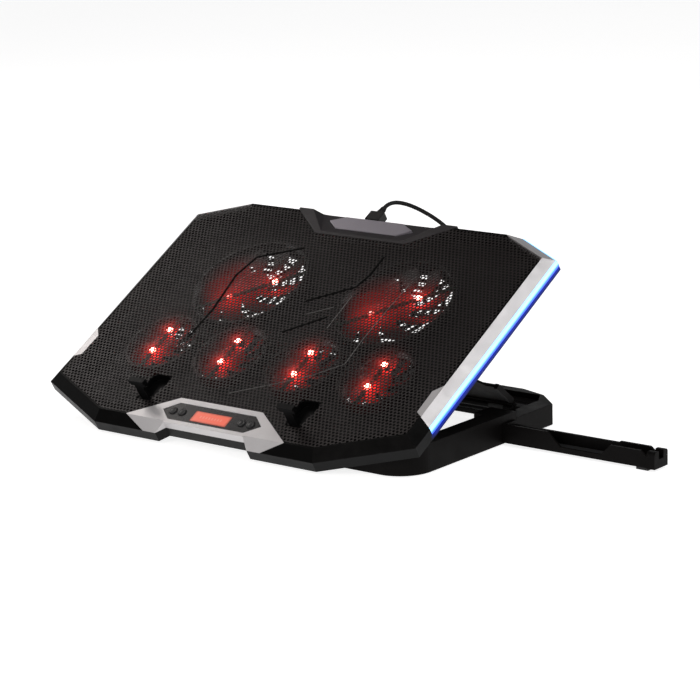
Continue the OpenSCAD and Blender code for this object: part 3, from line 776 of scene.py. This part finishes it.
# ------------------------------------------------------------------ display
def lcd_mat():
    mt, nt, b = mat("lcd")
    p = padcoords(nt)
    x = maprange(nt, p[0], -0.0203, 0.0203, 0.0, 1.0)
    y = maprange(nt, p[1], -0.0280, -0.0157, 0.0, 1.0)
    vign = math_node(nt, "MULTIPLY", ramp(nt, x, [(0.0, (0.45,) * 3), (0.06, (1,) * 3), (0.94, (1,) * 3), (1.0, (0.45,) * 3)]),
                     ramp(nt, y, [(0.0, (0.5,) * 3), (0.14, (1,) * 3), (0.86, (1,) * 3), (1.0, (0.5,) * 3)]))
    # generic level bars, a little paler than the backlight
    w = nt.nodes.new("ShaderNodeTexWave")
    w.wave_type = "BANDS"
    w.bands_direction = "X"
    w.inputs["Scale"].default_value = 95.0
    w.inputs["Distortion"].default_value = 0.0
    nt.links.new(coords(nt), w.inputs["Vector"])
    win = math_node(nt, "MULTIPLY",
                    math_node(nt, "MULTIPLY", maprange(nt, x, 0.18, 0.2, 0.0, 1.0), maprange(nt, x, 0.80, 0.82, 1.0, 0.0)),
                    math_node(nt, "MULTIPLY", maprange(nt, y, 0.36, 0.40, 0.0, 1.0), maprange(nt, y, 0.60, 0.64, 1.0, 0.0)))
    bars = math_node(nt, "MULTIPLY", win, math_node(nt, "GREATER_THAN", w.outputs["Fac"], 0.5))
    mx = nt.nodes.new("ShaderNodeMix")
    mx.data_type = "RGBA"
    nt.links.new(math_node(nt, "MULTIPLY", bars, 0.30), mx.inputs[0])
    mx.inputs[6].default_value = (1.0, 0.155, 0.085, 1)
    mx.inputs[7].default_value = (1.0, 0.45, 0.33, 1)
    nt.links.new(mx.outputs[2], b.inputs["Emission Color"])
    nt.links.new(math_node(nt, "MULTIPLY", vign, 0.70), b.inputs["Emission Strength"])
    nt.links.new(ramp(nt, x, [(0.0, (0.12, 0.025, 0.015)), (1.0, (0.12, 0.025, 0.015))]), b.inputs["Base Color"])
    b.inputs["Roughness"].default_value = 0.18
    b.inputs["Coat Weight"].default_value = 0.15
    b.inputs["Specular IOR Level"].default_value = 0.3
    return mt


M["lcd"] = lcd_mat()
set_mat(NODES["lcd_screen"], M["lcd"])


# ------------------------------------------------------------------ round buttons with a ring groove
def button(i, x):
    bm = bmesh.new()
    seg = 36
    prof = [(3.98, -5.4), (3.98, 0.05), (3.85, 0.35), (3.4, 0.62), (2.75, 0.74), (2.55, 0.60), (2.3, 0.60), (2.1, 0.70), (1.0, 0.82), (0.3, 0.85)]
    rings = [[bm.verts.new((pr * math.cos(2 * math.pi * k / seg), pr * math.sin(2 * math.pi * k / seg), pz)) for k in range(seg)] for pr, pz in prof]
    for a, b in zip(rings, rings[1:]):
        for k in range(seg):
            bm.faces.new((a[k], a[(k + 1) % seg], b[(k + 1) % seg], b[k]))
    bm.faces.new(rings[0][::-1])
    bm.faces.new(rings[-1])
    bmesh.ops.recalc_face_normals(bm, faces=bm.faces[:])
    bmesh.ops.transform(bm, matrix=PADMM @ Matrix.Translation((x, -20.6, 0)), verts=bm.verts[:])
    ob = obj_bm(f"button_{i}_cap", bm, M["button"], smooth=True)
    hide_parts(f"button_{i}")
    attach(ob, f"button_{i}")


for i, x in enumerate((-44.5, -34, 34, 44.5)):
    button(i + 1, x)

# ------------------------------------------------------------------ USB lead
CABLE = [(-10, 231.15, 170.1), (-9.6, 234.6, 172), (-8.2, 239, 173.4), (-5.2, 243.2, 173.8), (-0.6, 246.8, 173), (5.5, 249.4, 171.3),   (12.5, 251.4, 168.8), (20.5, 253, 165.4), (29.2, 254.4, 161.2), (38, 255.7, 156), (46, 257, 149.6), (53, 258.5, 141.8), (58.5, 260, 132.3),   (62.5, 261.5, 121.5), (65, 263, 110), (66.2, 264.6, 98), (66, 266.4, 86), (64.5, 268.5, 74), (61.8, 271, 62.4), (57.8, 273.6, 51.2),   (52.5, 276.2, 40.6), (46, 278.6, 30.9), (38.2, 280.8, 22.3), (29.4, 282.6, 15), (19.6, 283.8, 9.2), (9, 284.5, 5.1), (-2, 284.8, 2.8),   (-13.5, 285, 2), (-25, 285, 2), (-36.5, 285, 2), (-48, 285, 2)]
COIL_C, COIL_R, CR = (-48.0, 262.0), 23.0, 1.95


def catmull(pts, per=4):
    out = []
    P = [Vector(p) for p in pts]
    P = [P[0] * 2 - P[1]] + P + [P[-1] * 2 - P[-2]]
    for i in range(1, len(P) - 2):
        for k in range(per):
            f = k / per
            a, b, c, d = P[i - 1], P[i], P[i + 1], P[i + 2]
            out.append(0.5 * ((2 * b) + (c - a) * f + (2 * a - 5 * b + 4 * c - d) * f * f + (3 * b - a - 3 * c + d) * f ** 3))
    out.append(P[-2])
    return out


def lead():
    pts = catmull(CABLE, 3)
    turns, per = 1.5, 40
    n = int(turns * per)
    for k in range(1, n + 1):
        a = math.pi / 2 + 2 * math.pi * k / per
        f = k / n
        r = COIL_R
        z = 2.0 + 3.92 * min(1.0, max(0.0, (f * turns - 0.72) / 0.34)) ** 1.0
        # smooth climb onto the first turn
        s = min(1.0, max(0.0, (f * turns - 0.70) / 0.40))
        z = 2.0 + 3.92 * s * s * (3 - 2 * s)
        pts.append(Vector((COIL_C[0] + r * math.cos(a), COIL_C[1] + r * math.sin(a), z)))
    end = pts[-1]
    tail = [Vector((-43.5, 238.97, 5.9)), Vector((-39.0, 238.85, 5.8)), Vector((-34.5, 238.45, 5.5)), Vector((-30.0, 237.8, 5.0)), Vector((-25.5, 237.1, 4.5)), Vector((-22.0, 236.7, 4.2)), Vector((-19.05, 236.6, 4.1))]
    t2 = catmull([pts[-2], end] + tail, 2)[2:]
    pts += t2[1:]
    pts = [p / 1000.0 for p in pts]
    bm = bmesh.new()
    seg = 14
    prev = Vector((0, 0, 1))
    rows = []
    for i, p in enumerate(pts):
        tdir = (pts[min(i + 1, len(pts) - 1)] - pts[max(i - 1, 0)]).normalized()
        side = tdir.cross(prev)
        if side.length < 1e-4:
            side = tdir.cross(Vector((1, 0, 0)))
        side.normalize()
        upv = side.cross(tdir).normalized()
        prev = upv
        rows.append([bm.verts.new(p + (side * math.cos(2 * math.pi * k / seg) + upv * math.sin(2 * math.pi * k / seg)) * CR / 1000) for k in range(seg)])
    for a, b in zip(rows, rows[1:]):
        for k in range(seg):
            bm.faces.new((a[k], a[(k + 1) % seg], b[(k + 1) % seg], b[k]))
    bm.faces.new(rows[0][::-1])
    bm.faces.new(rows[-1])
    bmesh.ops.recalc_face_normals(bm, faces=bm.faces[:])
    ob = obj_bm("usb_lead", bm, M["cable"], smooth=True)
    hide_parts("usb_cable", "cable_coil")
    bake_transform(ob)
    return ob


lead()

# ------------------------------------------------------------------ rounded edges on the CAD parts
for n, w in (("side_trim_left", 0.35), ("side_trim_right", 0.35), ("front_bezel", 0.35), ("top_frame", 0.45), ("rear_cover", 0.4), ("badge_plate", 0.35),
             ("bottom_shell", 0.4), ("base_front_bar", 0.8), ("base_rail_left", 0.8), ("base_rail_right", 0.8), ("rack_deck", 0.6), ("rack_ladder", 0.5), ("prop_panel", 0.5),
             ("tray_arm", 0.5), ("tray_end_tab", 0.8), ("tray_foot", 0.5), ("stopper_left", 0.5), ("stopper_right", 0.5), ("stopper_pockets", 0.3),
             ("usb_plug", 0.8), ("laptop_plug", 0.8), ("cable_relief", 0.25), ("control_panel", 0.25), ("cable_tie", 0.4), ("base_feet", 0.25)):
    soften(n, w / 1000.0)

# ------------------------------------------------------------------ floor, light
fl = bpy.data.meshes.new("floor")
S = 6.0
fl.from_pydata([(-S, -S, 0), (S, -S, 0), (S, S, 0), (-S, S, 0)], [], [(0, 1, 2, 3)])
floor = bpy.data.objects.new("floor", fl)
scene.collection.objects.link(floor)
fm, nt, b = mat("floor")
fn = noise(nt, 3.0, 3.0, 0.5, coords(nt))
nt.links.new(ramp(nt, fn.outputs["Fac"], [(0.3, (0.62, 0.62, 0.62)), (0.7, (0.64, 0.64, 0.64))]), b.inputs["Base Color"])
b.inputs["Roughness"].default_value = 0.85
b.inputs["Specular IOR Level"].default_value = 0.05
b.inputs["Emission Color"].default_value = (1, 1, 1, 1)
b.inputs["Emission Strength"].default_value = 0.84
fl.materials.append(fm)

world = bpy.data.worlds.new("world")
scene.world = world
world.use_nodes = True
wn = world.node_tree
wt = wn.nodes.new("ShaderNodeTexCoord")
wsep = wn.nodes.new("ShaderNodeSeparateXYZ")
wn.links.new(wt.outputs["Generated"], wsep.inputs[0])
wr = wn.nodes.new("ShaderNodeValToRGB")
wr.color_ramp.elements[0].position = 0.16
wr.color_ramp.elements[0].color = (1, 1, 1, 1)
wr.color_ramp.elements[1].position = 0.32
wr.color_ramp.elements[1].color = (0.07, 0.07, 0.072, 1)
wn.links.new(wsep.outputs[2], wr.inputs[0])
wn.links.new(wr.outputs[0], wn.nodes["Background"].inputs[0])
wn.nodes["Background"].inputs[1].default_value = 1.0


def area(name, loc, target, size, power, size_y=None, col=(1, 1, 1)):
    l = bpy.data.lights.new(name, "AREA")
    l.energy = power
    l.shape = "RECTANGLE"
    l.size = size
    l.size_y = size_y or size
    l.color = col
    ob = bpy.data.objects.new(name, l)
    scene.collection.objects.link(ob)
    ob.location = loc
    d = Vector(target) - Vector(loc)
    ob.rotation_euler = d.to_track_quat("-Z", "Y").to_euler()
    return ob


area("key", (-1.75, 0.30, 1.35), (-0.1, 0.05, 0.08), 0.9, 11, col=(1.0, 0.95, 0.92))
area("front", (-0.45, -2.25, 1.42), (0, 0, 0.05), 0.6, 16, col=(1.0, 0.95, 0.91))
area("side", (2.3, -0.6, 1.2), (0.2, 0.1, 0.08), 0.9, 10)
area("band", (1.0, 0.30, 2.3), (0.1, 0.1, 0.1), 1.0, 14)

scene.view_settings.view_transform = "Standard"
scene.view_settings.look = "None"
scene.view_settings.exposure = 0.0
scene.view_settings.gamma = 1.0
